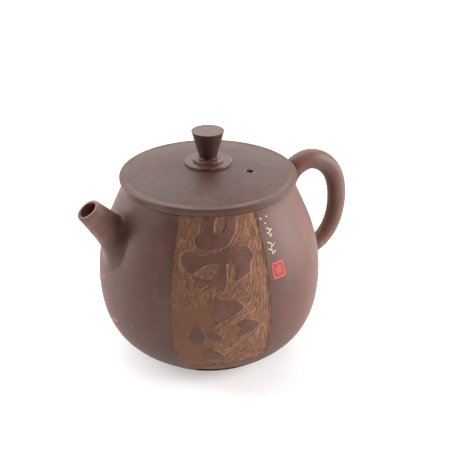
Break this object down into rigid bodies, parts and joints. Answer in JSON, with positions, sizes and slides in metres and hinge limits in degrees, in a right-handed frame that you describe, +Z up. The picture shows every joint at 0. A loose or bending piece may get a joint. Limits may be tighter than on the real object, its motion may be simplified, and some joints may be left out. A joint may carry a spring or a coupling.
{
  "type": "teapot",
  "caption": "Round-bellied unglazed clay teapot with a short straight spout, a loop handle, a lift-off domed lid with a tapered knob, and a carved front panel.",
  "frame": {"origin": "centre of the flat underside that the pot stands on, on the axis of the belly and the lid", "axes": "+Z up; -X towards the spout, +X towards the handle, -Y towards the carved front"},
  "size_m": [0.1209, 0.092, 0.095],
  "materials": {
    "purple_clay": "unglazed purple-brown stoneware, burnished to a soft satin, with reddish mottling",
    "panel_clay": "lighter brown clay, chisel-hatched and matt",
    "cream_slip": "cream slip filled into cut strokes, matt",
    "red_slip": "red slip filled into cut strokes, matt"
  },
  "bodies": {
    "pot": {"body_wall": "purple_clay", "base_disc": "purple_clay", "mouth_ring": "purple_clay", "spout": "purple_clay", "spout_strainer": "purple_clay", "handle": "purple_clay", "carved_panel": "panel_clay", "cream_bud_1": "cream_slip", "cream_bud_2": "cream_slip", "cream_bud_3": "cream_slip", "cream_sprig_upper": "cream_slip", "cream_sprig_lower": "cream_slip", "red_leaf_1": "red_slip", "red_leaf_2": "red_slip", "red_leaf_3": "red_slip", "red_leaf_4": "red_slip", "red_leaf_5": "red_slip", "red_leaf_6": "red_slip", "red_bud": "red_slip", "red_stem": "red_slip", "red_blossom_seal": "red_slip"},
    "lid": {"lid_plate": "purple_clay", "lid_flange": "purple_clay", "knob_step_large": "purple_clay", "knob_step_small": "purple_clay", "knob": "purple_clay"}
  },
  "joints": [
    {"name": "lid_lift", "type": "slide", "parent": "pot", "child": "lid", "axis": [0, 0, 1], "range_m": [0, 0.05]}
  ]
}
